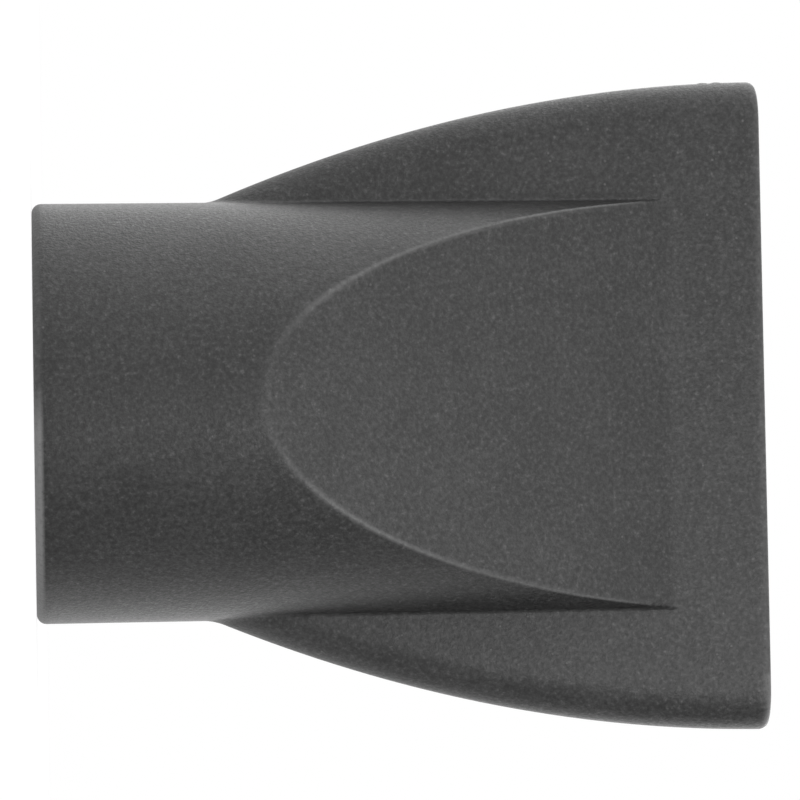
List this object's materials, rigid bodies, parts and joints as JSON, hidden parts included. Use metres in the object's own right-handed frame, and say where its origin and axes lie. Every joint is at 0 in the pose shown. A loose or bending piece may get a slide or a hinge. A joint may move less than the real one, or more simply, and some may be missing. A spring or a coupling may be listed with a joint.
{
  "type": "hair dryer concentrator nozzle",
  "caption": "Slip-on concentrator nozzle: a round sleeve for a hair dryer's barrel that widens into a flat fan with a slot outlet, and turns on an inner wire ring.",
  "frame": {"origin": "centre of the rear rim's plane, where the nozzle meets the dryer", "axes": "+Z along the air flow from the rim to the slot, X along the slot's width, Y across its thickness"},
  "size_m": [0.0748, 0.048, 0.0836],
  "materials": {
    "grained_plastic": "fine spark-eroded grain, dark grey",
    "smooth_plastic": "smoother, satin, dark grey",
    "spring_steel": "drawn wire, bright"
  },
  "bodies": {
    "nozzle": {"nozzle_body": "grained_plastic", "end_ring": "smooth_plastic"},
    "barrel_ring": {"retaining_spring": "spring_steel"}
  },
  "joints": [
    {"name": "nozzle_swivel", "type": "hinge", "parent": "nozzle", "child": "barrel_ring", "pos_m": [0, 0, 0.0064], "axis": [0, 0, 1], "continuous": true}
  ]
}
